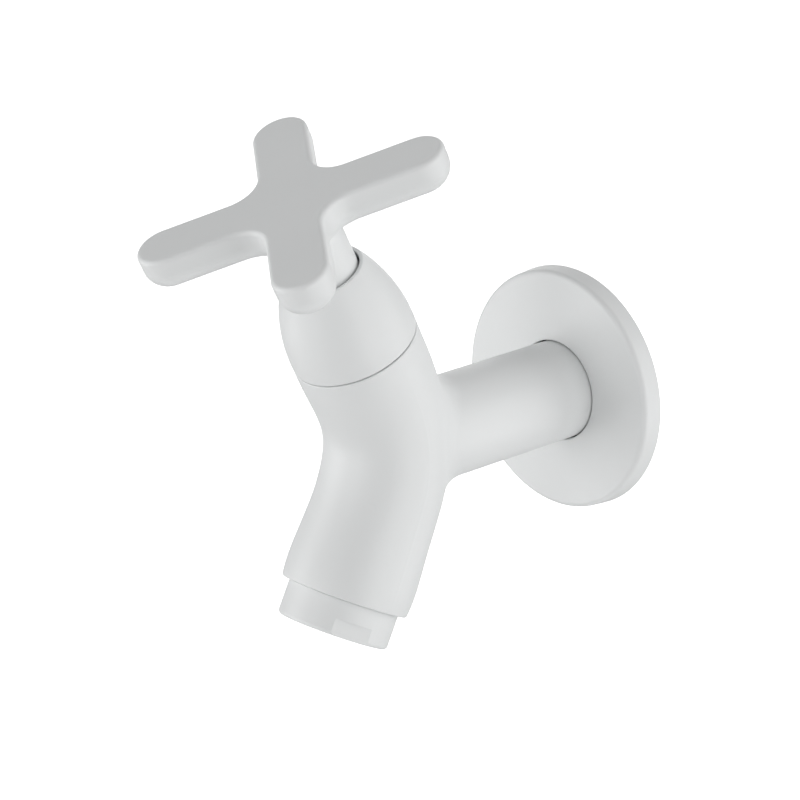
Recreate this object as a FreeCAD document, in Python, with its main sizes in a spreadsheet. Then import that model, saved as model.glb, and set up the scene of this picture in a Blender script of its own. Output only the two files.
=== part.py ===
import FreeCAD, Part
import math
import os
import Sketcher

# Wall-mounted basin tap: one cast body with a cross handle, a quarter-turn ceramic headwork under a
# domed cover, a sliding wall flange and a screw-in aerator.
# Millimetres and degrees. The origin is on the inlet axis in the plane of the wall, +Y runs into the
# wall, +Z is up. The barrel leans forward going up and the spout leans forward going down, and both
# axes cross the inlet axis at the same point.

SIZES = {
    # layout
    "valve_reach": 52.1,
    "barrel_lean": 26.0,
    "spout_lean": 28.0,
    "parting_height": 27.0,
    "spout_length": 34.8,
    "handle_angle": 50.4,
    "turn_range": 90.0,
    # clearances
    "fit_gap": 0.05,
    "loose_gap": 0.3,
    "seam_gap": 0.3,
    # cast body, outside
    "barrel_radius": 13.7,
    "shoulder_radius": 13.6,
    "shoulder_place": 0.3,
    "waist_radius": 13.3,
    "waist_place": 0.25,
    "knee_radius": 13.55,
    "knee_place": 0.75,
    "throat_radius": 13.8,
    "throat_place": 0.3,
    "flare_radius": 14.2,
    "flare_place": 0.65,
    "lip_radius": 13.9,
    "lip_edge": 0.4,
    "parting_edge": 0.25,
    "bend_radius": 30.0,
    "tube_radius": 11.1,
    "junction_fillet": 8.5,
    "thread_radius": 10.48,
    "thread_length": 15.0,
    "thread_chamfer": 1.0,
    "shoulder_offset": 0.5,
    "spigot_wall": 1.9,
    "spigot_height": 2.5,
    # cast body, inside
    "inlet_bore": 6.5,
    "inlet_overrun": 4.3,
    "seat_bore": 5.0,
    "seat_radius": 7.4,
    "seat_height": 4.0,
    "chamber_radius": 11.4,
    "chamber_floor": 6.0,
    "chamber_top": 20.5,
    "headwork_thread": 10.0,
    "passage_inner": 8.4,
    "passage_outer": 11.2,
    "passage_sweep": 100.0,
    "passage_drop": 17.0,
    "spout_bore": 8.0,
    "spout_bore_top": 13.0,
    "outlet_thread": 12.0,
    # wall flange
    "flange_radius": 27.5,
    "flange_front_radius": 27.1,
    "flange_depth": 4.6,
    "flange_wall": 1.6,
    "flange_edge": 1.2,
    "flange_gap": 0.25,
    "flange_bore_edge": 0.3,
    "collar_wall": 2.4,
    "flange_ring": 1.5,
    # domed cover
    "cover_height": 19.2,
    "cover_rim": 0.75,
    "cover_wall": 1.6,
    "dome_radius": 35.5,
    "cover_edge": 0.4,
    "cover_seam_edge": 0.25,
    "cover_mouth_edge": 0.2,
    "cover_ring": 1.1,
    # headwork
    "cage_radius": 8.7,
    "cage_lift": 1.0,
    "window_width": 10.0,
    "disc_radius": 7.4,
    "disc_thickness": 2.6,
    "port_inner": 1.9,
    "port_outer": 5.7,
    "port_sweep": 68.0,
    "seal_thickness": 2.6,
    "seal_wall": 2.0,
    "gasket_thickness": 0.8,
    "gasket_inset": 0.3,
    "collar_height": 1.7,
    "hex_flats": 17.0,
    "hex_height": 6.0,
    "neck_radius": 6.4,
    "neck_height": 3.0,
    "stop_height": 2.0,
    "stop_radius": 5.7,
    "stop_lug": 20.0,
    "stop_slack": 1.0,
    # spindle and what rides on it
    "spindle_radius": 4.6,
    "spindle_ring": 1.2,
    "ring_pitch": 3.2,
    "ring_rise": 6.2,
    "foot_length": 13.4,
    "foot_width": 5.0,
    "foot_height": 2.2,
    "tongue_width": 3.0,
    "tongue_depth": 1.0,
    "washer_thickness": 0.8,
    "washer_radius": 6.8,
    "clip_thickness": 1.0,
    "clip_radius": 5.9,
    "clip_root": 3.6,
    "spline_radius": 4.0,
    "spline_depth": 0.4,
    "spline_flank": 31.0,
    "spline_count": 20,
    # handle
    "handle_lift": 18.7,
    "handle_reach": 32.7,
    "arm_width": 12.0,
    "arm_thickness": 8.4,
    "arm_crotch": 6.5,
    "arm_edge": 1.0,
    "underside_flat": 2.8,
    "hub_radius": 7.65,
    "hub_gap": 0.5,
    "hub_overlap": 1.8,
    "insert_radius": 6.0,
    "insert_length": 9.0,
    "screw_radius": 2.0,
    "screw_length": 4.0,
    "screw_rise": 5.85,
    "socket_flats": 2.0,
    "socket_depth": 1.8,
    # aerator
    "ring_radius": 12.2,
    "ring_length": 7.6,
    "ring_gap": 0.2,
    "ring_edge": 0.9,
    "flats_distance": 22.9,
    "flats_height": 3.7,
    "flats_angle": 26.5,
    "aerator_thread_length": 5.2,
    "aerator_bore": 10.6,
    "aerator_lip": 9.2,
    "aerator_lip_height": 1.0,
    "aerator_seal": 2.0,
    "insert_cup_height": 5.4,
    "plate_thickness": 1.8,
    "jet_radius": 0.7,
    "jet_count": 10,
    "jet_ring_radius": 6.6,
    "screen_rise": 1.6,
    "screen_thickness": 0.4,
    "screen_rim": 0.5,
    "grid_height": 4.4,
    "grid_rib": 0.5,
    "grid_pitch": 3.6,
}

# How near in millimetres counts as the same place, when edges are picked to be rounded
NEAR = 0.01

doc = FreeCAD.newDocument("basin_tap")
sheet = doc.addObject("Spreadsheet::Sheet", "Sizes")
for row, (name, value) in enumerate(SIZES.items(), 1):
    sheet.set(f"A{row}", name)
    sheet.set(f"B{row}", str(value))
    sheet.setAlias(f"B{row}", name)
doc.recompute()
pieces = []

# The frames that the pieces are built in. Each one's Z axis is the axis that the piece is turned about:
# out of the wall, up the barrel, down the spout, or up the barrel and turned with the handle.
WALL = "placement(vector(0; 0; 0); rotationx(90))"
BARREL = "placement(vector(0; -Sizes.valve_reach; 0); rotationx(Sizes.barrel_lean))"
SPOUT = "placement(vector(0; -Sizes.valve_reach; 0); rotationx(180 - Sizes.spout_lean))"
HANDLE = ("placement(vector(0; -Sizes.valve_reach; 0); "
          "rotationx(Sizes.barrel_lean) * rotationz(Sizes.handle_angle))")

# From the crossing of the two axes to where the bend between them starts and ends
BEND_TANGENT = "(Sizes.bend_radius * tan((Sizes.barrel_lean + Sizes.spout_lean) / 2))"

# Heights along the barrel axis, from the inlet axis up
SEAT_TOP = "(Sizes.chamber_floor + Sizes.seat_height)"
CAGE_FOOT = f"({SEAT_TOP} + Sizes.cage_lift)"
DISC_BASE = f"({SEAT_TOP} + Sizes.seal_thickness)"
DISC_JOINT = f"({DISC_BASE} + Sizes.disc_thickness)"
FOOT_BASE = f"({DISC_JOINT} + Sizes.disc_thickness)"
FOOT_TOP = f"({FOOT_BASE} + Sizes.foot_height)"
WASHER_TOP = f"({FOOT_TOP} + Sizes.washer_thickness)"
CAGE_ROOF = f"({WASHER_TOP} + Sizes.fit_gap)"
SPIGOT_TOP = "(Sizes.parting_height + Sizes.spigot_height)"
COLLAR_BASE = f"({SPIGOT_TOP} + Sizes.gasket_thickness)"
COLLAR_TOP = f"({COLLAR_BASE} + Sizes.collar_height)"
HEX_TOP = f"({COLLAR_TOP} + Sizes.hex_height)"
NECK_TOP = f"({HEX_TOP} + Sizes.neck_height)"
CLIP_BASE = f"({NECK_TOP} + Sizes.fit_gap)"
CLIP_TOP = f"({CLIP_BASE} + Sizes.clip_thickness)"
THREAD_FOOT = "(Sizes.chamber_top + Sizes.chamber_radius - Sizes.headwork_thread)"
SPINDLE_RINGS = {"spindle_o_ring_lower": f"({WASHER_TOP} + Sizes.ring_rise)",
                 "spindle_o_ring_upper": f"({WASHER_TOP} + Sizes.ring_rise + Sizes.ring_pitch)"}
COVER_RING_HEIGHT = "(Sizes.parting_height + Sizes.spigot_height / 2)"
COVER_BASE = "(Sizes.parting_height + Sizes.seam_gap)"
COVER_TOP = "(Sizes.parting_height + Sizes.cover_height)"
HUB_BASE = f"({COVER_TOP} - Sizes.hub_overlap)"
HANDLE_TOP = f"({COVER_TOP} + Sizes.handle_lift)"
ARM_BASE = f"({HANDLE_TOP} - Sizes.arm_thickness)"
INSERT_BASE = f"({HUB_BASE} + Sizes.fit_gap)"
INSERT_TOP = f"({INSERT_BASE} + Sizes.insert_length)"
SCREW_HEIGHT = f"({INSERT_BASE} + Sizes.screw_rise)"

# Distance of the flange's rubber ring from the wall
FLANGE_RING_HEIGHT = "(Sizes.shoulder_offset + Sizes.flange_ring)"

# Heights along the spout axis, from the inlet axis down
THREAD_START = "(Sizes.spout_length - Sizes.aerator_thread_length)"
OUTLET_BASE = f"({THREAD_START} - Sizes.aerator_seal)"
RING_START = "(Sizes.spout_length + Sizes.ring_gap)"
RING_END = f"({RING_START} + Sizes.ring_length)"
GRID_END = f"({RING_END} - Sizes.aerator_lip_height)"
GRID_START = f"({GRID_END} - Sizes.grid_height)"
CUP_START = f"({GRID_START} - Sizes.insert_cup_height)"
SCREEN_START = f"({CUP_START} - Sizes.screen_rim)"

# Radii that follow another piece's size
CAGE_BORE = "(Sizes.disc_radius + Sizes.fit_gap)"
SPINDLE_BORE = "(Sizes.spindle_radius + Sizes.fit_gap)"
SPINDLE_RING_ROOT = "(Sizes.spindle_radius - Sizes.spindle_ring)"
SPIGOT_RADIUS = "(Sizes.headwork_thread + Sizes.spigot_wall)"
SPIGOT_RING_ROOT = f"({SPIGOT_RADIUS} + Sizes.fit_gap - Sizes.cover_ring)"
GASKET_RADIUS = f"({SPIGOT_RADIUS} - Sizes.gasket_inset)"
COVER_MOUTH = "(Sizes.hub_radius + Sizes.hub_gap)"
COVER_TOP_RADIUS = f"({COVER_MOUTH} + Sizes.cover_rim)"
FLANGE_BORE = "(Sizes.tube_radius + Sizes.flange_gap)"
FLANGE_RING_ROOT = "(Sizes.tube_radius + Sizes.fit_gap + Sizes.flange_ring)"
INSERT_BORE = "(Sizes.spline_radius + Sizes.fit_gap)"
SCREW_TIP = "(Sizes.spline_radius - Sizes.spline_depth - Sizes.loose_gap)"
CUP_RADIUS = "(Sizes.aerator_bore - Sizes.fit_gap)"


def origin_plane(body, role):
    """The body's own origin plane with this role."""
    return next(item for item in body.Origin.OriginFeatures if item.Role == role)


def new_sketch(body, name, role, offset=None):
    """An empty sketch on one of the body's origin planes, moved by an expression if one is given."""
    sketch = body.newObject("Sketcher::SketchObject", name)
    sketch.AttachmentSupport = [(origin_plane(body, role), "")]
    sketch.MapMode = "FlatFace"
    if offset:
        sketch.setExpression("AttachmentOffset", offset)
    return sketch


def number(expression):
    """What an expression comes to with the sizes in the sheet."""
    return float(sheet.evalExpression(expression))


def bind(sketch, kind, *place):
    """Add a driving constraint: its place in the sketch, then the expression that gives its value."""
    *place, expression = place
    start = number(expression)
    if kind == "Angle":
        start = math.radians(start)
    index = sketch.addConstraint(Sketcher.Constraint(kind, *place, start))
    sketch.setExpression(f"Constraints[{index}]", expression)


def outline(sketch, corners):
    """A closed outline through corners (x, y), given as expressions.

    A third value makes the stretch from that corner to the next an arc of that radius, which turns
    left on its way round.
    """
    places = [FreeCAD.Vector(number(corner[0]), number(corner[1]), 0) for corner in corners]
    count = len(corners)
    for i, corner in enumerate(corners):
        start, end = places[i], places[(i + 1) % count]
        if len(corner) == 2:
            sketch.addGeometry(Part.LineSegment(start, end), False)
            continue
        radius = number(corner[2])
        chord = end - start
        left = FreeCAD.Vector(-chord.y, chord.x, 0).normalize()
        centre = (start + end) * 0.5 + left * math.sqrt(radius**2 - (chord.Length / 2)**2)
        angles = [math.atan2(p.y - centre.y, p.x - centre.x) for p in (start, end)]
        circle = Part.Circle(centre, FreeCAD.Vector(0, 0, 1), radius)
        sketch.addGeometry(Part.ArcOfCircle(circle, *angles), False)
    for i in range(count):
        sketch.addConstraint(Sketcher.Constraint("Coincident", i, 2, (i + 1) % count, 1))
    for i, corner in enumerate(corners):
        bind(sketch, "DistanceX", -1, 1, i, 1, corner[0])
        bind(sketch, "DistanceY", -1, 1, i, 1, corner[1])
        if len(corner) == 3:
            bind(sketch, "Radius", i, corner[2])


def circle(sketch, radius, x="0", y="0"):
    """One circle, its centre at (x, y)."""
    centre = FreeCAD.Vector(number(x), number(y), 0)
    index = sketch.addGeometry(Part.Circle(centre, FreeCAD.Vector(0, 0, 1), number(radius)), False)
    bind(sketch, "Radius", index, radius)
    if (x, y) == ("0", "0"):
        sketch.addConstraint(Sketcher.Constraint("Coincident", index, 3, -1, 1))
    else:
        bind(sketch, "DistanceX", -1, 1, index, 3, x)
        bind(sketch, "DistanceY", -1, 1, index, 3, y)


def sector(sketch, inner, outer, sweep):
    """A ring sector centred on the sketch's X axis."""
    half = math.radians(number(sweep)) / 2
    up = FreeCAD.Vector(0, 0, 1)
    for radius in (outer, inner):
        round_edge = Part.Circle(FreeCAD.Vector(0, 0, 0), up, number(radius))
        sketch.addGeometry(Part.ArcOfCircle(round_edge, -half, half), False)
    for side in (-half, half):
        ray = FreeCAD.Vector(math.cos(side), math.sin(side), 0)
        sketch.addGeometry(Part.LineSegment(ray * number(inner), ray * number(outer)), False)
    for arc in (0, 1):
        sketch.addConstraint(Sketcher.Constraint("Coincident", arc, 3, -1, 1))
        sketch.addConstraint(Sketcher.Constraint("Symmetric", arc, 1, arc, 2, -1))
        for line, end in ((2, 1), (3, 2)):
            sketch.addConstraint(Sketcher.Constraint("Coincident", line, 2 - arc, arc, end))
    bind(sketch, "Radius", 0, outer)
    bind(sketch, "Radius", 1, inner)
    for arc in (0, 1):
        bind(sketch, "Angle", arc, sweep)


def capsule(sketch, half_length, radius):
    """A bar with full-round ends along the sketch's X axis, half_length from its middle to each tip."""
    reach, end = number(half_length), number(radius)
    up = FreeCAD.Vector(0, 0, 1)
    middle = FreeCAD.Vector(reach - end, 0, 0)
    sketch.addGeometry(Part.ArcOfCircle(Part.Circle(middle, up, end), -math.pi / 2, math.pi / 2), False)
    sketch.addGeometry(Part.ArcOfCircle(Part.Circle(-middle, up, end), math.pi / 2, math.pi * 1.5), False)
    for side in (1, -1):
        rise = FreeCAD.Vector(0, end * side, 0)
        sketch.addGeometry(Part.LineSegment(middle + rise, rise - middle), False)
    joins = ((0, 2, 2, 1), (2, 2, 1, 1), (1, 2, 3, 2), (3, 1, 0, 1))
    for first, first_end, second, second_end in joins:
        sketch.addConstraint(Sketcher.Constraint("Tangent", first, first_end, second, second_end))
    for arc in (0, 1):
        sketch.addConstraint(Sketcher.Constraint("PointOnObject", arc, 3, -1))
    bind(sketch, "Radius", 0, radius)
    bind(sketch, "DistanceX", -1, 1, 0, 3, f"{half_length} - {radius}")
    bind(sketch, "DistanceX", 1, 3, -1, 1, f"{half_length} - {radius}")


def rectangle(sketch, width, low, high):
    """A rectangle of this width, centred on the sketch's Y axis, from low to high."""
    half = f"{width} / 2"
    outline(sketch, [(f"-{half}", low), (half, low), (half, high), (f"-{half}", high)])


def turn(body, name, corners, feature="Revolution", role="XZ_Plane", offset=None):
    """Turn a half profile, (radius, height) corners, about the sketch's Y axis."""
    sketch = new_sketch(body, f"{name}_profile", role, offset)
    outline(sketch, corners)
    made = body.newObject(f"PartDesign::{feature}", name)
    made.Profile = sketch
    made.ReferenceAxis = (sketch, ["V_Axis"])
    made.Angle = 360
    return made


def extrude(body, name, sketch, length, feature="Pad", midplane=False, reversed_way=False):
    """Pad a sketch, or cut it as a pocket, over this length."""
    made = body.newObject(f"PartDesign::{feature}", name)
    made.Profile = sketch
    made.Type = "Length"
    made.setExpression("Length", length)
    made.Midplane = midplane
    made.Reversed = reversed_way
    return made


def repeat(body, name, features, count, angle=360):
    """Repeat features evenly round the body's Z axis, over this angle."""
    made = body.newObject("PartDesign::PolarPattern", name)
    made.Originals = features
    made.Axis = (next(item for item in body.Origin.OriginFeatures if item.Role == "Z_Axis"), [""])
    made.Angle = angle
    if isinstance(count, int):
        made.Occurrences = count
    else:
        made.setExpression("Occurrences", count)
    body.Tip = made
    return made


def edges_where(shape, test):
    """Names of the edges of a shape that pass a test."""
    return [f"Edge{i}" for i, edge in enumerate(shape.Edges, 1) if test(edge)]


def dress(body, name, kind, base, names, size):
    """Round or chamfer the named edges of a feature."""
    made = body.newObject(f"PartDesign::{kind}", name)
    made.Base = (base, names)
    made.setExpression("Radius" if kind == "Fillet" else "Size", size)
    return made


def rim_round(body, name, height, radius, size):
    """Round the circular edge of this radius at this height of a turned body."""
    level, reach = number(height), number(radius)
    rim = edges_where(body.Tip.Shape, lambda edge: abs(edge.BoundBox.ZMin - level) < NEAR
                      and edge.BoundBox.ZLength < NEAR and abs(edge.BoundBox.XMax - reach) < NEAR)
    dress(body, name, "Fillet", body.Tip, rim, size)
    doc.recompute()


def new_body(label, frame=None):
    """An empty body for one piece, in its frame."""
    body = doc.addObject("PartDesign::Body", label)
    body.Label = label
    if frame:
        body.setExpression("Placement", frame)
    pieces.append(body)
    return body


def turned_piece(label, frame, corners):
    """A piece that is one turned profile."""
    body = new_body(label, frame)
    turn(body, f"{label}_turned", corners)
    return body


def ring_piece(label, frame, inner, section, height):
    """A rubber ring of round section: its inner radius, the section's diameter and its middle's height."""
    body = new_body(label, frame)
    sketch = new_sketch(body, f"{label}_section", "XZ_Plane")
    circle(sketch, f"{section} / 2", f"{inner} + {section} / 2", height)
    made = body.newObject("PartDesign::Revolution", f"{label}_turned")
    made.Profile = sketch
    made.ReferenceAxis = (sketch, ["V_Axis"])
    made.Angle = 360
    return body


def at(x="0", y="0", z="0", turned="0"):
    """An attachment offset: a move, then a turn about the moved Z axis."""
    return f"placement(vector({x}; {y}; {z}); rotationz({turned}))"


def barrel_section(height, turned="0"):
    """Where a section of the barrel at this height lies in the body's own frame."""
    return (f"placement(vector(0; -(Sizes.valve_reach + {height} * sin(Sizes.barrel_lean)); "
            f"{height} * cos(Sizes.barrel_lean)); rotationx(Sizes.barrel_lean) * rotationz({turned}))")


def spout_section(drop):
    """Where a section of the spout this far down its axis lies in the body's own frame."""
    return (f"placement(vector(0; -(Sizes.valve_reach + {drop} * sin(Sizes.spout_lean)); "
            f"-{drop} * cos(Sizes.spout_lean)); rotationx(-Sizes.spout_lean))")


def bend_section(share):
    """Where a section lies on the bend between barrel and spout, at this share of its turn."""
    lean = f"(Sizes.barrel_lean - {share} * (Sizes.barrel_lean + Sizes.spout_lean))"
    forward = (f"(Sizes.valve_reach + {BEND_TANGENT} * sin(Sizes.barrel_lean) "
               f"+ Sizes.bend_radius * (cos(Sizes.barrel_lean) - cos({lean})))")
    up = (f"({BEND_TANGENT} * cos(Sizes.barrel_lean) "
          f"- Sizes.bend_radius * (sin(Sizes.barrel_lean) - sin({lean})))")
    return f"placement(vector(0; -{forward}; {up}); rotationx({lean}))"


def tap_body():
    """The casting: barrel, bend and flared spout in one sweep, the inlet tube and its threaded shank."""
    body = new_body("tap_body")

    def past_bend(share, length):
        """A distance from the crossing of the axes: this share of the way from the bend to the end."""
        return f"({BEND_TANGENT} + {share} * ({length} - {BEND_TANGENT}))"

    shoulder = barrel_section(past_bend("Sizes.shoulder_place", "Sizes.parting_height"))
    sections = [
        (barrel_section("Sizes.parting_height"), "Sizes.barrel_radius"),
        (shoulder, "Sizes.shoulder_radius"),
        (bend_section("Sizes.waist_place"), "Sizes.waist_radius"),
        (bend_section("Sizes.knee_place"), "Sizes.knee_radius"),
        (spout_section(past_bend("Sizes.throat_place", "Sizes.spout_length")), "Sizes.throat_radius"),
        (spout_section(past_bend("Sizes.flare_place", "Sizes.spout_length")), "Sizes.flare_radius"),
        (spout_section("Sizes.spout_length"), "Sizes.lip_radius"),
    ]
    rings = []
    for i, (place, radius) in enumerate(sections):
        ring = new_sketch(body, f"section_{i}", "XY_Plane", place)
        circle(ring, radius)
        rings.append(ring)
    loft = body.newObject("PartDesign::AdditiveLoft", "barrel_and_spout")
    loft.Profile = rings[0]
    loft.Sections = rings[1:]
    loft.Ruled = False

    tube = new_sketch(body, "tube_circle", "XZ_Plane", at(z="Sizes.shoulder_offset"))
    circle(tube, "Sizes.tube_radius")
    tube = extrude(body, "inlet_tube", tube, "Sizes.valve_reach - Sizes.shoulder_offset")
    doc.recompute()
    radius, start = number("Sizes.tube_radius"), number("Sizes.shoulder_offset")

    def meets_tube(edge):
        if edge.Curve.TypeId == "Part::GeomLine":
            return False
        points = edge.discretize(9)
        far_end = max(p.y for p in points) < -start - radius
        return far_end and all(abs(math.hypot(p.x, p.z) - radius) < NEAR for p in points)

    dress(body, "junction_blend", "Fillet", tube, edges_where(tube.Shape, meets_tube), "Sizes.junction_fillet")
    doc.recompute()

    def round_end(name, height, lean, rim_radius, size):
        """Round the rim at this height up the barrel or, below zero, down the spout."""
        middle = FreeCAD.Vector(0, -number(f"Sizes.valve_reach + abs({height}) * sin({lean})"),
                                number(f"{height} * cos({lean})"))
        reach = number(rim_radius)
        rim = edges_where(body.Tip.Shape, lambda edge: all(abs(p.distanceToPoint(middle) - reach) < NEAR
                                                           for p in edge.discretize(9)))
        dress(body, name, "Fillet", body.Tip, rim, size)
        doc.recompute()

    round_end("lip_round", "-Sizes.spout_length", "Sizes.spout_lean", "Sizes.lip_radius", "Sizes.lip_edge")
    round_end("parting_round", "Sizes.parting_height", "Sizes.barrel_lean", "Sizes.barrel_radius",
              "Sizes.parting_edge")

    shank = new_sketch(body, "shank_circle", "XZ_Plane", at(z="-Sizes.thread_length"))
    circle(shank, "Sizes.thread_radius")
    shank = extrude(body, "threaded_shank", shank, "Sizes.thread_length + Sizes.valve_reach")
    doc.recompute()
    end = number("Sizes.thread_length")
    mouth = edges_where(shank.Shape, lambda edge: edge.CenterOfMass.y > end - NEAR)
    dress(body, "thread_lead_in", "Chamfer", shank, mouth, "Sizes.thread_chamfer")

    spigot = new_sketch(body, "spigot_circle", "XY_Plane", barrel_section("Sizes.chamber_top"))
    circle(spigot, SPIGOT_RADIUS)
    extrude(body, "cover_spigot", spigot, f"{SPIGOT_TOP} - Sizes.chamber_top")

    inlet_end = "-(Sizes.valve_reach + Sizes.inlet_overrun)"
    turn(body, "inlet_waterway", [("0", inlet_end), ("Sizes.inlet_bore", inlet_end),
                                  ("Sizes.inlet_bore", "Sizes.thread_length"), ("0", "Sizes.thread_length")],
         "Groove", "XY_Plane")

    up_barrel = "placement(vector(-Sizes.valve_reach; 0; 0); rotationz(Sizes.barrel_lean))"
    bore = "(Sizes.headwork_thread + Sizes.fit_gap)"
    turn(body, "valve_chamber", [
        ("0", "0"), ("Sizes.seat_bore", "0"), ("Sizes.seat_bore", SEAT_TOP),
        ("Sizes.seat_radius", SEAT_TOP), ("Sizes.seat_radius", "Sizes.chamber_floor"),
        ("Sizes.chamber_radius", "Sizes.chamber_floor"), ("Sizes.chamber_radius", "Sizes.chamber_top"),
        (bore, f"Sizes.chamber_top + Sizes.chamber_radius - {bore}"), (bore, SPIGOT_TOP), ("0", SPIGOT_TOP),
    ], "Groove", "YZ_Plane", up_barrel)

    low, high = (f"{COVER_RING_HEIGHT} {sign} Sizes.cover_ring / 2 {sign} Sizes.fit_gap" for sign in "-+")
    turn(body, "spigot_groove", ring_corners(SPIGOT_RING_ROOT, f"({SPIGOT_RADIUS} + Sizes.cover_ring)",
                                             low, high), "Groove", "YZ_Plane", up_barrel)

    passage = new_sketch(body, "passage_outline", "XY_Plane", barrel_section("Sizes.chamber_floor", "-90"))
    sector(passage, "Sizes.passage_inner", "Sizes.passage_outer", "Sizes.passage_sweep")
    extrude(body, "outlet_passage", passage, "Sizes.passage_drop", "Pocket")

    down_spout = "placement(vector(-Sizes.valve_reach; 0; 0); rotationz(180 - Sizes.spout_lean))"
    outlet = "(Sizes.outlet_thread + Sizes.fit_gap)"
    turn(body, "spout_waterway", [
        ("0", "Sizes.spout_bore_top"), ("Sizes.spout_bore", "Sizes.spout_bore_top"),
        ("Sizes.spout_bore", OUTLET_BASE), (outlet, OUTLET_BASE),
        (outlet, "Sizes.spout_length"), ("0", "Sizes.spout_length"),
    ], "Groove", "YZ_Plane", down_spout)


def wall_flange():
    """A shallow cup with a collar that slides on the inlet tube; its rubber ring sits in the collar.

    The hollow's roof is no wider than its mouth, and stays inside the round of the front edge.
    """
    inside = "(Sizes.flange_depth - Sizes.flange_wall)"
    collar = f"({FLANGE_RING_ROOT} + Sizes.collar_wall)"
    rim = "(Sizes.flange_radius - Sizes.flange_wall)"
    roof = f"min({rim}; Sizes.flange_front_radius - Sizes.flange_edge)"
    low, high = (f"({FLANGE_RING_HEIGHT} {sign} Sizes.flange_ring / 2 {sign} Sizes.fit_gap)" for sign in "-+")
    body = turned_piece("wall_flange", WALL, [
        (FLANGE_BORE, "0"), (collar, "0"), (collar, inside), (roof, inside), (rim, "0"),
        ("Sizes.flange_radius", "0"), ("Sizes.flange_front_radius", "Sizes.flange_depth"),
        (FLANGE_BORE, "Sizes.flange_depth"), (FLANGE_BORE, high), (FLANGE_RING_ROOT, high),
        (FLANGE_RING_ROOT, low), (FLANGE_BORE, low),
    ])
    doc.recompute()
    rim_round(body, "front_round", "Sizes.flange_depth", "Sizes.flange_front_radius", "Sizes.flange_edge")
    rim_round(body, "bore_round", "Sizes.flange_depth", FLANGE_BORE, "Sizes.flange_bore_edge")
    ring_piece("flange_o_ring", WALL, "(Sizes.tube_radius + Sizes.fit_gap)", "Sizes.flange_ring",
               FLANGE_RING_HEIGHT)


def bonnet_cover():
    """The domed cover: a turned dome, hollowed out for the headwork and open for the handle's hub."""
    skirt = f"({SPIGOT_RADIUS} + 2 * Sizes.fit_gap)"
    body = turned_piece("bonnet_cover", BARREL, [
        ("0", COVER_BASE), ("Sizes.barrel_radius", COVER_BASE, "Sizes.dome_radius"),
        (COVER_TOP_RADIUS, COVER_TOP), ("0", COVER_TOP),
    ])
    doc.recompute()
    rim_round(body, "seam_round", COVER_BASE, "Sizes.barrel_radius", "Sizes.cover_seam_edge")
    rim_round(body, "top_round", COVER_TOP, COVER_TOP_RADIUS, "Sizes.cover_edge")
    turn(body, "hollow", [
        ("0", COVER_BASE), (skirt, COVER_BASE), (skirt, SPIGOT_TOP, "(Sizes.dome_radius - Sizes.cover_wall)"),
        (COVER_MOUTH, f"{COVER_TOP} - Sizes.cover_wall"), (COVER_MOUTH, COVER_TOP), ("0", COVER_TOP),
    ], "Groove")
    doc.recompute()
    rim_round(body, "mouth_round", COVER_TOP, COVER_MOUTH, "Sizes.cover_mouth_edge")
    ring_piece("cover_o_ring", BARREL, SPIGOT_RING_ROOT, "Sizes.cover_ring", COVER_RING_HEIGHT)


def headwork():
    """The brass headwork: windowed cage, thread, sealing collar, hexagon and neck with the stop slot."""
    body = turned_piece("headwork_body", BARREL, [
        ("0", CAGE_FOOT), ("Sizes.cage_radius", CAGE_FOOT), ("Sizes.cage_radius", THREAD_FOOT),
        ("Sizes.headwork_thread", THREAD_FOOT), ("Sizes.headwork_thread", COLLAR_BASE),
        (GASKET_RADIUS, COLLAR_BASE), (GASKET_RADIUS, COLLAR_TOP),
        ("Sizes.neck_radius", COLLAR_TOP), ("Sizes.neck_radius", NECK_TOP), ("0", NECK_TOP),
    ])
    hexagon = body.newObject("PartDesign::AdditivePrism", "spanner_hexagon")
    hexagon.AttachmentSupport = [(origin_plane(body, "XY_Plane"), "")]
    hexagon.MapMode = "FlatFace"
    hexagon.setExpression("AttachmentOffset", at(z=COLLAR_TOP))
    hexagon.Polygon = 6
    hexagon.setExpression("Circumradius", "Sizes.hex_flats / sqrt(3)")
    hexagon.setExpression("Height", "Sizes.hex_height")
    turn(body, "cage_and_bore", [
        ("0", CAGE_FOOT), (CAGE_BORE, CAGE_FOOT), (CAGE_BORE, CAGE_ROOF), (SPINDLE_BORE, CAGE_ROOF),
        (SPINDLE_BORE, NECK_TOP), ("0", NECK_TOP),
    ], "Groove")
    window = new_sketch(body, "window_outline", "XZ_Plane")
    rectangle(window, "Sizes.window_width", f"{DISC_JOINT} + Sizes.loose_gap", CAGE_ROOF)
    extrude(body, "windows", window, "3 * Sizes.cage_radius", "Pocket", midplane=True)
    slot = new_sketch(body, "slot_outline", "XY_Plane",
                      at(z=NECK_TOP, turned="Sizes.handle_angle + Sizes.turn_range / 2"))
    sector(slot, "(Sizes.spindle_radius - Sizes.fit_gap)", "(Sizes.stop_radius + Sizes.fit_gap)",
           "(Sizes.turn_range + Sizes.stop_lug + 2 * Sizes.stop_slack)")
    extrude(body, "stop_slot", slot, "Sizes.stop_height", "Pocket")

    turned_piece("headwork_gasket", BARREL, ring_corners("(Sizes.headwork_thread + Sizes.fit_gap)",
                                                         GASKET_RADIUS, SPIGOT_TOP, COLLAR_BASE))
    turned_piece("seat_seal", BARREL, ring_corners("(Sizes.disc_radius - Sizes.seal_wall)",
                                                   "Sizes.disc_radius", SEAT_TOP, DISC_BASE))


def ring_corners(inner, outer, low, high):
    """Half profile of a plain ring."""
    return [(inner, low), (outer, low), (outer, high), (inner, high)]


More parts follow.
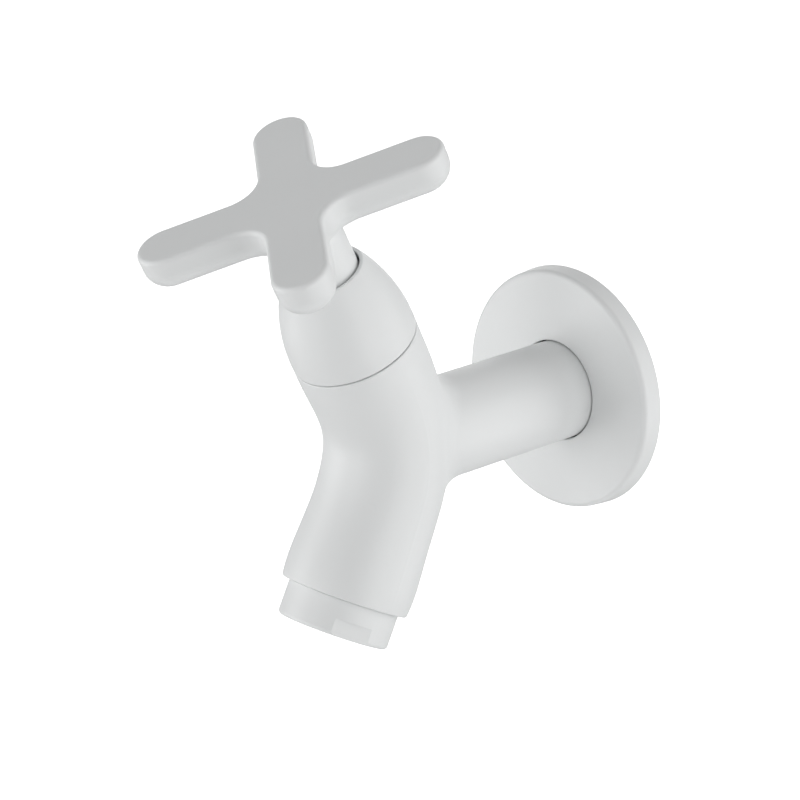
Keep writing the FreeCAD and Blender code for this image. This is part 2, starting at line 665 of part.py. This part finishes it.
def ceramic_disc(label, low, turned):
    """A disc with two opposite ports, turned by this angle from the handle's own X axis."""
    body = new_body(label, HANDLE)
    face = new_sketch(body, f"{label}_face", "XY_Plane", at(z=low))
    circle(face, "Sizes.disc_radius")
    extrude(body, f"{label}_blank", face, "Sizes.disc_thickness")
    port = new_sketch(body, f"{label}_port_outline", "XY_Plane",
                      at(z=f"({low} + Sizes.disc_thickness)", turned=turned))
    sector(port, "Sizes.port_inner", "Sizes.port_outer", "Sizes.port_sweep")
    port = extrude(body, f"{label}_port", port, "Sizes.disc_thickness", "Pocket")
    repeat(body, f"{label}_ports", [port], 2)
    return body


def moving_disc():
    """The upper disc, which the spindle's tongue turns: at rest its ports lie across the fixed ones."""
    body = ceramic_disc("moving_disc", DISC_JOINT, "90")
    slot = new_sketch(body, "tongue_slot_outline", "XZ_Plane")
    rectangle(slot, "(2 * Sizes.disc_radius)", f"({FOOT_BASE} - Sizes.tongue_depth - Sizes.fit_gap)",
              FOOT_BASE)
    extrude(body, "tongue_slot", slot, "Sizes.tongue_width + 2 * Sizes.fit_gap", "Pocket", midplane=True)


def spindle():
    """The spindle: driving foot, two ring grooves, stop lug, clip groove and splined end."""
    body = new_body("spindle", HANDLE)
    corners = [("0", FOOT_BASE), ("Sizes.spindle_radius", FOOT_BASE)]
    for place in SPINDLE_RINGS.values():
        low, high = (f"({place} {sign} Sizes.spindle_ring / 2 {sign} Sizes.fit_gap)" for sign in "-+")
        corners += [("Sizes.spindle_radius", low), (SPINDLE_RING_ROOT, low),
                    (SPINDLE_RING_ROOT, high), ("Sizes.spindle_radius", high)]
    clip_end = f"({CLIP_TOP} + Sizes.fit_gap)"
    corners += [("Sizes.spindle_radius", NECK_TOP), ("Sizes.clip_root", NECK_TOP),
                ("Sizes.clip_root", clip_end), ("Sizes.spline_radius", clip_end),
                ("Sizes.spline_radius", INSERT_TOP), ("0", INSERT_TOP)]
    turn(body, "shaft", corners)
    for name, width, low, height in (
            ("foot", "Sizes.foot_width", FOOT_BASE, "Sizes.foot_height"),
            ("tongue", "Sizes.tongue_width", f"({FOOT_BASE} - Sizes.tongue_depth)", "Sizes.tongue_depth")):
        bar = new_sketch(body, f"{name}_outline", "XZ_Plane")
        rectangle(bar, "Sizes.foot_length", low, f"({low} + {height})")
        extrude(body, name, bar, width, midplane=True)
    lug = new_sketch(body, "lug_outline", "XY_Plane",
                     at(z=f"({NECK_TOP} - Sizes.stop_height + Sizes.fit_gap)"))
    sector(lug, "(Sizes.spindle_radius - Sizes.spindle_ring)", "Sizes.stop_radius", "Sizes.stop_lug")
    extrude(body, "stop_lug", lug, "Sizes.stop_height - Sizes.fit_gap")

    groove = "(Sizes.screw_radius + 2 * Sizes.fit_gap)"
    turn(body, "screw_groove", ring_corners(SCREW_TIP, "(Sizes.spline_radius + Sizes.spline_depth)",
                                            f"{SCREW_HEIGHT} - {groove}", f"{SCREW_HEIGHT} + {groove}"),
         "Groove")
    notch = new_sketch(body, "notch_outline", "XY_Plane", at(z=INSERT_TOP))
    outline(notch, spline_tooth("Sizes.spline_radius", "Sizes.spline_depth"))
    notch = extrude(body, "spline_notch", notch, f"{INSERT_TOP} - {clip_end}", "Pocket")
    repeat(body, "spline", [notch], "Sizes.spline_count")

    for label, place in SPINDLE_RINGS.items():
        ring_piece(label, HANDLE, SPINDLE_RING_ROOT, "Sizes.spindle_ring", place)
    turned_piece("spindle_washer", HANDLE,
                 ring_corners(SPINDLE_BORE, "Sizes.washer_radius", FOOT_TOP, WASHER_TOP))
    clip = turned_piece("spindle_circlip", HANDLE, ring_corners("(Sizes.clip_root + Sizes.fit_gap)",
                                                                "Sizes.clip_radius", CLIP_BASE, CLIP_TOP))
    mouth = new_sketch(clip, "mouth_outline", "YZ_Plane")
    rectangle(mouth, "Sizes.clip_root", CLIP_BASE, CLIP_TOP)
    extrude(clip, "mouth", mouth, "Sizes.clip_radius", "Pocket", reversed_way=True)


def spline_tooth(radius, depth):
    """A V that points at the axis, from just outside a radius to this depth inside it."""
    outside = f"({radius} + Sizes.fit_gap)"
    half = f"({depth} * tan(Sizes.spline_flank))"
    return [(f"({radius} - {depth})", "0"), (outside, f"-{half}"), (outside, half)]


def cross_handle():
    """Four arms with a flat top and a full-round underside, and the hub that drops into the cover."""
    body = new_body("cross_handle", HANDLE)
    bar = new_sketch(body, "bar_outline", "XY_Plane", at(z=ARM_BASE))
    capsule(bar, "Sizes.handle_reach", "Sizes.arm_width / 2")
    bar = extrude(body, "bar", bar, "Sizes.arm_thickness")
    cross = repeat(body, "cross", [bar], 2, 90)
    doc.recompute()
    width = number("Sizes.arm_width")
    inner = edges_where(cross.Shape, lambda edge: edge.BoundBox.ZLength > 1
                        and math.hypot(edge.CenterOfMass.x, edge.CenterOfMass.y) < width)
    crotch = dress(body, "crotch_rounds", "Fillet", cross, inner, "Sizes.arm_crotch")
    doc.recompute()
    base, top = number(ARM_BASE), number(HANDLE_TOP)
    low = edges_where(crotch.Shape, lambda edge: edge.BoundBox.ZMax < base + NEAR)
    under = dress(body, "underside_rounds", "Fillet", crotch, low,
                  "(Sizes.arm_width - Sizes.underside_flat) / 2")
    doc.recompute()
    high = edges_where(under.Shape, lambda edge: edge.BoundBox.ZMin > top - NEAR)
    dress(body, "top_rounds", "Fillet", under, high, "Sizes.arm_edge")
    hub = new_sketch(body, "hub_circle", "XY_Plane", at(z=HUB_BASE))
    circle(hub, "Sizes.hub_radius")
    extrude(body, "hub", hub, f"{HANDLE_TOP} - Sizes.arm_thickness / 2 - {HUB_BASE}")
    bore = "(Sizes.insert_radius + Sizes.fit_gap)"
    turn(body, "hub_bore", [("0", HUB_BASE), (bore, HUB_BASE), (bore, f"{INSERT_TOP} + Sizes.fit_gap"),
                            ("0", f"{INSERT_TOP} + Sizes.fit_gap")], "Groove")
    screw_hole(body)


def screw_hole(body):
    """A radial hole for the grub screw, between two arms on the side that faces the wall."""
    hole = new_sketch(body, "screw_hole_circle", "XZ_Plane",
                      f"placement(vector(0; {SCREW_HEIGHT}; 0); rotationy(-45))")
    circle(hole, "Sizes.screw_radius + Sizes.fit_gap")
    extrude(body, "screw_hole", hole, "2 * Sizes.hub_radius", "Pocket")


def handle_fixings():
    """The splined insert in the hub and the grub screw that holds the handle on the spindle."""
    body = turned_piece("handle_insert", HANDLE,
                        ring_corners(INSERT_BORE, "Sizes.insert_radius", INSERT_BASE, INSERT_TOP))
    ridge = new_sketch(body, "ridge_outline", "XY_Plane", at(z=INSERT_BASE))
    outline(ridge, spline_tooth(INSERT_BORE, "(Sizes.spline_depth - Sizes.fit_gap)"))
    ridge = extrude(body, "spline_ridge", ridge, "Sizes.insert_length")
    repeat(body, "spline", [ridge], "Sizes.spline_count")
    screw_hole(body)

    towards_wall = (f"{HANDLE} * placement(vector(0; 0; {SCREW_HEIGHT}); rotationz(45)) "
                    "* placement(vector(0; 0; 0); rotationy(90))")
    screw_end = f"({SCREW_TIP} + Sizes.screw_length)"
    screw = turned_piece("handle_grub_screw", towards_wall, [
        ("0", SCREW_TIP), ("Sizes.screw_radius / 2", SCREW_TIP),
        ("Sizes.screw_radius", f"{SCREW_TIP} + Sizes.screw_radius / 2"),
        ("Sizes.screw_radius", screw_end), ("0", screw_end),
    ])
    socket = screw.newObject("PartDesign::SubtractivePrism", "hexagon_socket")
    socket.AttachmentSupport = [(origin_plane(screw, "XY_Plane"), "")]
    socket.MapMode = "FlatFace"
    socket.setExpression("AttachmentOffset", at(z=f"({screw_end} - Sizes.socket_depth)"))
    socket.Polygon = 6
    socket.setExpression("Circumradius", "Sizes.socket_flats / sqrt(3)")
    socket.setExpression("Height", "Sizes.socket_depth")


def aerator():
    """The screw-in aerator: housing with two flats, seal, strainer, jet plate and outlet grid."""
    body = turned_piece("aerator_housing", SPOUT, [
        ("Sizes.aerator_bore", THREAD_START), ("Sizes.outlet_thread", THREAD_START),
        ("Sizes.outlet_thread", RING_START), ("Sizes.ring_radius", RING_START),
        ("Sizes.ring_radius", RING_END), ("Sizes.aerator_lip", RING_END), ("Sizes.aerator_lip", GRID_END),
        ("Sizes.aerator_bore", GRID_END),
    ])
    doc.recompute()
    rim_round(body, "end_round", RING_END, "Sizes.ring_radius", "Sizes.ring_edge")
    flat = new_sketch(body, "flat_outline", "XY_Plane", at(z=RING_END, turned="Sizes.flats_angle"))
    half, outside = "Sizes.flats_distance / 2", "(Sizes.ring_radius + Sizes.ring_edge)"
    outline(flat, [(half, f"-({half})"), (outside, f"-({half})"), (outside, half), (half, half)])
    flat = extrude(body, "spanner_flat", flat, "Sizes.flats_height", "Pocket")
    repeat(body, "spanner_flats", [flat], 2)

    turned_piece("aerator_seal", SPOUT, ring_corners("(Sizes.spout_bore + Sizes.loose_gap)",
                                                     "(Sizes.outlet_thread - Sizes.loose_gap)",
                                                     OUTLET_BASE, THREAD_START))
    strainer()
    plate_end = f"({CUP_START} + Sizes.plate_thickness)"
    cup = turned_piece("aerator_jet_plate", SPOUT, [
        ("0", CUP_START), (CUP_RADIUS, CUP_START), (CUP_RADIUS, GRID_START),
        ("Sizes.aerator_lip", GRID_START), ("Sizes.aerator_lip", plate_end), ("0", plate_end),
    ])
    jet = new_sketch(cup, "jet_circle", "XY_Plane", at(z=plate_end))
    circle(jet, "Sizes.jet_radius", "Sizes.jet_ring_radius")
    jet = extrude(cup, "jet", jet, "Sizes.plate_thickness", "Pocket")
    repeat(cup, "jets", [jet], "Sizes.jet_count")
    outlet_grid()


def strainer():
    """A domed strainer with a flat rim, which sits on the jet plate inside the seal."""
    dome, rise, wall = "(Sizes.spout_bore - Sizes.loose_gap)", "Sizes.screen_rise", "Sizes.screen_thickness"
    top = f"({SCREEN_START} - {rise})"
    sphere = f"(({dome} ^ 2 + {rise} ^ 2) / (2 * {rise}))"
    inner = f"({sphere} - {wall})"
    body = turned_piece("aerator_screen", SPOUT, [
        ("0", top, sphere), (dome, SCREEN_START), (CUP_RADIUS, SCREEN_START), (CUP_RADIUS, CUP_START),
        ("0", CUP_START),
    ])
    turn(body, "dome_hollow", [
        ("0", f"({top} + {wall})", inner),
        (f"sqrt({inner} ^ 2 - ({top} + {sphere} - {CUP_START}) ^ 2)", CUP_START), ("0", CUP_START),
    ], "Groove")


def outlet_grid():
    """A disc of hexagonal cells: one in the middle and two rings round it."""
    body = new_body("aerator_grid", SPOUT)
    face = new_sketch(body, "grid_circle", "XY_Plane", at(z=GRID_START))
    circle(face, CUP_RADIUS)
    extrude(body, "grid_blank", face, "Sizes.grid_height")
    pitch = "Sizes.grid_pitch"
    cells = {"middle_cell": ("0", "0"), "inner_cell": (pitch, "0"), "corner_cell": (f"2 * {pitch}", "0"),
             "side_cell": (f"1.5 * {pitch}", f"{pitch} * sqrt(3) / 2")}
    for name, (x, y) in cells.items():
        cell = body.newObject("PartDesign::SubtractivePrism", name)
        cell.AttachmentSupport = [(origin_plane(body, "XY_Plane"), "")]
        cell.MapMode = "FlatFace"
        cell.setExpression("AttachmentOffset", at(x, y, GRID_START, "30"))
        cell.Polygon = 6
        cell.setExpression("Circumradius", f"({pitch} - Sizes.grid_rib) / sqrt(3)")
        cell.setExpression("Height", "Sizes.grid_height")
        if name != "middle_cell":
            repeat(body, f"{name}s", [cell], 6)


tap_body()
wall_flange()
bonnet_cover()
headwork()
ceramic_disc("fixed_disc", DISC_BASE, "0")
moving_disc()
spindle()
cross_handle()
handle_fixings()
aerator()
doc.recompute()

for item in doc.Objects:
    if "Invalid" in item.State or "Error" in item.State:
        raise RuntimeError(f"{item.Label} failed: {item.State}")
for piece in pieces:
    if piece.Shape.isNull() or not piece.Shape.isValid() or not piece.Shape.Solids:
        raise RuntimeError(f"{piece.Label} has no valid solid")

os.makedirs("parts", exist_ok=True)
for piece in pieces:
    piece.Shape.exportStep(f"parts/{piece.Label}.step")
    print(piece.Label, len(piece.Shape.Solids), round(piece.Shape.Volume, 1))
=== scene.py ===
import math

import bmesh
import bpy
from mathutils import Matrix, Vector
from mathutils.kdtree import KDTree


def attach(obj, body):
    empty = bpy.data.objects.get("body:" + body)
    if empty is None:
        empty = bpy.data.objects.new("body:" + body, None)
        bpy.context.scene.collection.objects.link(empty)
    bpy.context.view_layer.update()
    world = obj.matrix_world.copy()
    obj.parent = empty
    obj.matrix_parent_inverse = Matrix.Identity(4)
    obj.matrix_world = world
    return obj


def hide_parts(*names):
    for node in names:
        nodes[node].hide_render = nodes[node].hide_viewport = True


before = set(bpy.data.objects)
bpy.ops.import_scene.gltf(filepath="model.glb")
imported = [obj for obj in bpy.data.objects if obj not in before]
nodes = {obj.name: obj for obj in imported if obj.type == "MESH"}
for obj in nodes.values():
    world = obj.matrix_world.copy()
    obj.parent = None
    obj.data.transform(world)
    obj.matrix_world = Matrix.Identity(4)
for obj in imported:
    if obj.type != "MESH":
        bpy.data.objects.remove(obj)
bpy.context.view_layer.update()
MM = 0.001

# Camera: where the photograph was taken from, as fitted to the tap's outline, with its angles in degrees
# and its distances in metres
CAMERA_AZIMUTH = 47.53
CAMERA_ELEVATION = 18.83
CAMERA_ROLL = -0.99
CAMERA_DISTANCE = 0.6094
CAMERA_NEAREST = 0.01
LENS_MM = 122.4
SENSOR_MM = 36.0
IMAGE_SIZE = 800
# The pixel of the photograph where the inlet's axis meets the plane of the wall
ORIGIN_PIXEL = (569.1, 385.15)

# The shank behind the flange: where it starts and ends, from the plane of the wall, and its bore
SHOULDER = -0.5 * MM
THREAD_END = 15.0 * MM
WATERWAY_RADIUS = 6.5 * MM

# Its G 1/2 pipe thread. Of half a pitch, this share is flat at the crest and as much again at the root.
THREAD_MAJOR = 10.48 * MM
THREAD_PITCH = 1.814 * MM
THREAD_DEPTH = 1.162 * MM
THREAD_FLAT = 0.17
THREAD_CHAMFER = 1.3 * MM
# Where the groove starts and where it has its full depth
RUN_OUT = (0.4 * MM, 1.6 * MM)
# Points round the thread's mesh, and about how far its rings of points lie apart
THREAD_SIDES = 96
THREAD_STEP = 0.11 * MM

# The casting is cut off just inside the shoulder. A point this near the cut counts as on it.
CUT_INSET = 0.01 * MM
ON_CUT = 0.0001 * MM
# How far a face's normal points along the inlet's axis, at least, when the face closes the cut
CUT_FACE = 0.9
# How near two points of a mesh lie when they stand for the same one
SAME_PLACE = 0.0005 * MM
# The turn between two faces, in degrees, from which their edge is a sharp one
SHARP_CASTING = 30
SHARP_THREAD = 40

# Width and height of the light panels in metres: one that stands, one that leans and one that lies
STANDING = (1.0, 2.0)
LEANING = (1.0, 1.0)
LYING = (1.4, 1.4)
# The soft panels round the tap, each with its angle in degrees from straight in front, turning towards
# the tap's right as seen from the room, its angle above level, its size and its power in watts
PANELS = {
    "front_panel": (0, 0, STANDING, 6.8),
    "right_panel": (90, 0, STANDING, 10.5),
    "right_rear_panel": (135, 0, STANDING, 9.6),
    "high_rear_panel": (180, 45, LEANING, 2.3),
    "left_rear_panel": (225, 0, STANDING, 6.0),
    "left_front_panel": (315, 0, STANDING, 13.8),
    "under_panel": (0, -90, LYING, 5.1),
}
# How far the panels stand from the point that they face, in metres
PANEL_DISTANCE = 1.6
PANEL_AIM = (0, -0.045, 0.01)
# Strength of the light from all round, and of the white that the camera sees behind and below the tap
ROOM_LIGHT = 0.343
BACKDROP_LIGHT = 1.05
# Half the floor's width and its height, in metres
FLOOR_HALF = 4.0
FLOOR_LEVEL = -0.45
FLOOR_ROUGHNESS = 0.9

# Colours as the shader takes them, without the light
WHITE = (1, 1, 1, 1)
FLOOR_WHITE = (0.93, 0.93, 0.93, 1)
PAINT_WHITE = (0.798, 0.811, 0.811)
BRASS = (0.78, 0.60, 0.33)
RUBBER = (0.012, 0.012, 0.013)
CERAMIC = (0.80, 0.77, 0.70)
STEEL = (0.55, 0.55, 0.55)
GREY_PLASTIC = (0.45, 0.46, 0.47)
NYLON = (0.70, 0.66, 0.55)

# What all finishes share: blotches to the metre, how fine the noise goes, how rough the noise of the
# blotches and of the grain is, the range where most of its values lie, the strength of the relief, and the
# share by which the gloss varies
BLOTCHES = 60.0
NOISE_DETAIL = 3.0
BLOTCH_ROUGHNESS = 0.5
GRAIN_ROUGHNESS = 0.6
NOISE_RANGE = (0.3, 0.7)
RELIEF_STRENGTH = 0.6
GLOSS_SHARE = 0.1
# What the finishes of all metals share
METAL = {"metallic": 1.0, "roughness": 0.3, "relief": 0.002, "shade": 0.03}
# How the grain of the shank's brass is drawn out into the fine lines that turning leaves round its axis
TURNED = (0.08, 1.0, 0.08)


def clamp(value):
    """A value held between 0 and 1."""
    return min(1.0, max(0.0, value))


def direction(azimuth, elevation):
    """A direction from the tap, by its angles to the right of straight in front and above level."""
    turn = math.radians(azimuth)
    rise = math.radians(elevation)
    return Vector((math.sin(turn) * math.cos(rise), -math.cos(turn) * math.cos(rise), math.sin(rise)))


def new_object(name, data):
    """A new object in the scene, at its origin."""
    made = bpy.data.objects.new(name, data)
    bpy.context.scene.collection.objects.link(made)
    return made


def new_material(name):
    """A material with its Principled shader, and a function that adds a node to it."""
    material = bpy.data.materials.new(name)
    material.use_nodes = True
    tree = material.node_tree
    shader = tree.nodes["Principled BSDF"]

    def add(kind, inputs):
        node = tree.nodes.new(kind)
        for key, value in inputs.items():
            if isinstance(value, bpy.types.NodeSocket):
                tree.links.new(value, node.inputs[key])
            else:
                node.inputs[key].default_value = value
        return node

    return material, shader, add


def noise(add, place, scale, roughness):
    """Noise between 0 and 1, with this many lumps to the metre."""
    node = add("ShaderNodeTexNoise", {"Vector": place, "Scale": scale, "Detail": NOISE_DETAIL,
                                      "Roughness": roughness})
    return node.outputs["Fac"]


def spread(add, value, low, high):
    """A number mapped from the noise's usual range to this one."""
    from_low, from_high = NOISE_RANGE
    node = add("ShaderNodeMapRange", {"Value": value, "From Min": from_low, "From Max": from_high,
                                      "To Min": low, "To Max": high})
    return node.outputs["Result"]


def surface(name, colour, roughness, lumps, relief, shade, metallic=0.0, stretch=(1, 1, 1)):
    """A plain finish with faint blotches, uneven gloss and fine relief.

    lumps is the relief's grain to the metre, relief its height in millimetres and shade how much the
    colour varies. stretch draws the grain out along an axis, as turning or brushing does.
    """
    material, shader, add = new_material(name)
    links = material.node_tree.links
    shader.inputs["Metallic"].default_value = metallic
    place = add("ShaderNodeTexCoord", {}).outputs["Object"]
    grain_place = add("ShaderNodeMapping", {"Vector": place, "Scale": stretch}).outputs["Vector"]

    blotch = noise(add, place, BLOTCHES, BLOTCH_ROUGHNESS)
    darker = [part * (1 - shade) for part in colour]
    lighter = [clamp(part * (1 + shade)) for part in colour]
    tint = add("ShaderNodeMixRGB", {"Fac": spread(add, blotch, 0.0, 1.0), "Color1": (*darker, 1),
                                    "Color2": (*lighter, 1)})
    links.new(tint.outputs["Color"], shader.inputs["Base Color"])

    grain = noise(add, grain_place, lumps, GRAIN_ROUGHNESS)
    gloss = spread(add, grain, roughness * (1 - GLOSS_SHARE), clamp(roughness * (1 + GLOSS_SHARE)))
    links.new(gloss, shader.inputs["Roughness"])
    bump = add("ShaderNodeBump", {"Height": grain, "Strength": RELIEF_STRENGTH, "Distance": relief * MM})
    links.new(bump.outputs["Normal"], shader.inputs["Normal"])
    return material


def give(material, *names):
    """Put one material on these CAD nodes."""
    for name in names:
        mesh = nodes[name].data
        mesh.materials.clear()
        mesh.materials.append(material)


def new_piece(name, mesh, material, body):
    """A mesh as a named piece that rides on a body."""
    piece = new_object(name, mesh)
    mesh.materials.clear()
    mesh.materials.append(material)
    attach(piece, body)
    return piece


def finish_mesh(shape, mesh, sharp):
    """Put a shape into a mesh, smooth apart from edges that turn by this many degrees or more."""
    bmesh.ops.recalc_face_normals(shape, faces=shape.faces)
    shape.to_mesh(mesh)
    shape.free()
    for face in mesh.polygons:
        face.use_smooth = True
    mesh.set_sharp_from_angle(angle=math.radians(sharp))


def keep_normals(mesh, source):
    """Give a cut mesh the exact surface normals of the mesh that it was cut from.

    The source has a point of its own for each face at a sharp edge, so each corner takes the normal of
    the face that turns most nearly the same way. A corner on the cut itself has no point to go by, and
    takes the direction straight out from the inlet's axis, or along it on the cut's own face.
    """
    corners = [[] for point in source.vertices]
    for face in source.polygons:
        for corner in face.loop_indices:
            normal = source.corner_normals[corner].vector
            corners[source.loops[corner].vertex_index].append((face.normal, normal))
    tree = KDTree(len(source.vertices))
    for point in source.vertices:
        tree.insert(point.co, point.index)
    tree.balance()
    options = []
    for point in mesh.vertices:
        spots = tree.find_range(point.co, SAME_PLACE)
        options.append([option for _, index, _ in spots for option in corners[index]])

    normals = []
    for face in mesh.polygons:
        for index in face.vertices:
            if options[index]:
                normals.append(max(options[index], key=lambda option: option[0].dot(face.normal))[1])
            elif abs(face.normal.y) > CUT_FACE:
                normals.append(face.normal)
            else:
                place = mesh.vertices[index].co
                outward = Vector((place.x, 0, place.z)).normalized()
                normals.append(outward if outward.dot(face.normal) > 0 else -outward)
    mesh.normals_split_custom_set(normals)


def casting(material):
    """The casting up to the shoulder behind the flange: the CAD mesh, cut off there and closed again."""
    mesh = nodes["tap_body"].data.copy()
    mesh.name = "casting"
    shape = bmesh.new()
    shape.from_mesh(mesh)
    bmesh.ops.remove_doubles(shape, verts=shape.verts, dist=SAME_PLACE)
    everything = shape.verts[:] + shape.edges[:] + shape.faces[:]
    place = (0, SHOULDER - CUT_INSET, 0)
    cut = bmesh.ops.bisect_plane(shape, geom=everything, dist=ON_CUT, plane_co=place, plane_no=(0, 1, 0),
                                 clear_outer=True)
    rim = [item for item in cut["geom_cut"] if isinstance(item, bmesh.types.BMEdge)]
    bmesh.ops.bridge_loops(shape, edges=rim)
    finish_mesh(shape, mesh, SHARP_CASTING)
    keep_normals(mesh, nodes["tap_body"].data)
    return new_piece("casting", mesh, material, "tap")


def thread_radius(along, turn):
    """Radius of the right-handed thread at a distance from the wall's plane and a share of a turn."""
    from_crest = abs(2 * ((along / THREAD_PITCH + turn) % 1.0) - 1)
    slope = clamp((from_crest - THREAD_FLAT) / (1 - 2 * THREAD_FLAT))
    sunk = slope * slope * (3 - 2 * slope)
    start, full = RUN_OUT
    share = clamp((along - start) / (full - start))
    chamfered = THREAD_MAJOR - THREAD_CHAMFER + (THREAD_END - along)
    return min(THREAD_MAJOR - THREAD_DEPTH * sunk * share, chamfered)


def inlet_thread(material):
    """The brass shank with its real thread, a closed tube from the shoulder to its end."""
    shape = bmesh.new()

    def ring(along, inside=False):
        """Points round the inlet's axis, on the thread or on the waterway inside it."""
        places = []
        for i in range(THREAD_SIDES):
            angle = 2 * math.pi * i / THREAD_SIDES
            radius = WATERWAY_RADIUS if inside else thread_radius(along, i / THREAD_SIDES)
            places.append(shape.verts.new((radius * math.cos(angle), along, radius * math.sin(angle))))
        return places

    length = THREAD_END - SHOULDER
    rows = round(length / THREAD_STEP)
    rings = [ring(SHOULDER + length * row / rows) for row in range(rows + 1)]
    rings += [ring(THREAD_END, inside=True), ring(SHOULDER, inside=True), rings[0]]
    for first, second in zip(rings, rings[1:]):
        for i in range(THREAD_SIDES):
            after = (i + 1) % THREAD_SIDES
            shape.faces.new((first[i], first[after], second[after], second[i]))
    mesh = bpy.data.meshes.new("inlet_thread")
    finish_mesh(shape, mesh, SHARP_THREAD)
    return new_piece("inlet_thread", mesh, material, "tap")


def dress():
    """Give every node its finish, and the casting its thread."""
    paint = surface("white_powder_coat", PAINT_WHITE, roughness=0.42, lumps=1400, relief=0.006, shade=0.006)
    brass = surface("machined_brass", BRASS, lumps=2500, **METAL)
    turned_brass = surface("turned_brass", BRASS, lumps=4000, stretch=TURNED, **METAL)
    rubber = surface("black_rubber", RUBBER, roughness=0.6, lumps=2500, relief=0.01, shade=0.1)
    ceramic = surface("lapped_ceramic", CERAMIC, roughness=0.12, lumps=2500, relief=0.002, shade=0.01)
    steel = surface("stainless_steel", STEEL, lumps=2500, **METAL)
    plastic = surface("grey_plastic", GREY_PLASTIC, roughness=0.45, lumps=2000, relief=0.006, shade=0.02)
    nylon = surface("pale_nylon", NYLON, roughness=0.5, lumps=2000, relief=0.006, shade=0.02)

    give(paint, "wall_flange", "bonnet_cover", "cross_handle", "aerator_housing")
    give(brass, "headwork_body", "spindle")
    give(rubber, "flange_o_ring", "cover_o_ring", "spindle_o_ring_lower", "spindle_o_ring_upper")
    give(rubber, "seat_seal", "aerator_seal")
    give(ceramic, "fixed_disc", "moving_disc")
    give(steel, "spindle_circlip", "handle_grub_screw", "aerator_screen")
    give(plastic, "aerator_jet_plate", "aerator_grid")
    give(nylon, "headwork_gasket", "spindle_washer", "handle_insert")

    body = casting(paint)
    thread = inlet_thread(turned_brass)
    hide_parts("tap_body")
    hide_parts("tap_body")


def camera():
    """The camera at the photograph's viewing angle, with the tap's origin at its pixel."""
    turn = math.radians(CAMERA_AZIMUTH)
    roll = math.radians(CAMERA_ROLL)
    back = direction(CAMERA_AZIMUTH, CAMERA_ELEVATION)
    level = Vector((math.cos(turn), math.sin(turn), 0))
    upright = back.cross(level)
    right = level * math.cos(roll) + upright * math.sin(roll)
    up = upright * math.cos(roll) - level * math.sin(roll)
    pixel = CAMERA_DISTANCE * SENSOR_MM / LENS_MM / IMAGE_SIZE
    across, down = ((place - IMAGE_SIZE / 2) * pixel for place in ORIGIN_PIXEL)
    data = bpy.data.cameras.new("camera")
    data.lens = LENS_MM
    data.sensor_width = SENSOR_MM
    data.clip_start = CAMERA_NEAREST
    holder = new_object("camera", data)
    turned = Matrix((right, up, back)).transposed().to_4x4()
    holder.matrix_world = Matrix.Translation(back * CAMERA_DISTANCE - right * across + up * down) @ turned
    bpy.context.scene.camera = holder


def panel(name, azimuth, elevation, size, power):
    """One soft light panel at this angle from the tap, turned towards it and hidden from the camera."""
    data = bpy.data.lights.new(name, "AREA")
    data.shape = "RECTANGLE"
    data.size, data.size_y = size
    data.energy = power
    lamp = new_object(name, data)
    outward = direction(azimuth, elevation)
    lamp.location = Vector(PANEL_AIM) + outward * PANEL_DISTANCE
    lamp.rotation_euler = outward.to_track_quat("Z", "Y").to_euler()
    lamp.visible_camera = False


def floor():
    """A plain white floor well below the tap, which shows but throws no light up at it."""
    mesh = bpy.data.meshes.new("floor")
    signs = ((-1, -1), (1, -1), (1, 1), (-1, 1))
    mesh.from_pydata([(x * FLOOR_HALF, y * FLOOR_HALF, FLOOR_LEVEL) for x, y in signs], [], [(0, 1, 2, 3)])
    material = bpy.data.materials.new("floor")
    material.use_nodes = True
    shader = material.node_tree.nodes["Principled BSDF"]
    shader.inputs["Base Color"].default_value = FLOOR_WHITE
    shader.inputs["Roughness"].default_value = FLOOR_ROUGHNESS
    shader.inputs["Emission Color"].default_value = WHITE
    shader.inputs["Emission Strength"].default_value = BACKDROP_LIGHT
    mesh.materials.append(material)
    ground = new_object("floor", mesh)
    ground.visible_diffuse = False
    ground.visible_glossy = False
    ground.visible_shadow = False


def background():
    """An even dim light from all round, where the camera sees plain white instead."""
    world = bpy.data.worlds.new("studio")
    bpy.context.scene.world = world
    world.use_nodes = True
    tree = world.node_tree
    tree.nodes.clear()
    mix = tree.nodes.new("ShaderNodeMixShader")
    for socket, strength in ((1, ROOM_LIGHT), (2, BACKDROP_LIGHT)):
        light = tree.nodes.new("ShaderNodeBackground")
        light.inputs["Color"].default_value = WHITE
        light.inputs["Strength"].default_value = strength
        tree.links.new(light.outputs[0], mix.inputs[socket])
    seen = tree.nodes.new("ShaderNodeLightPath")
    tree.links.new(seen.outputs["Is Camera Ray"], mix.inputs[0])
    out = tree.nodes.new("ShaderNodeOutputWorld")
    tree.links.new(mix.outputs[0], out.inputs[0])


def studio():
    """The floor, the light from all round and the panels."""
    floor()
    for name, setting in PANELS.items():
        panel(name, *setting)
    background()
    bpy.context.scene.view_settings.view_transform = "Standard"


camera()
studio()
dress()
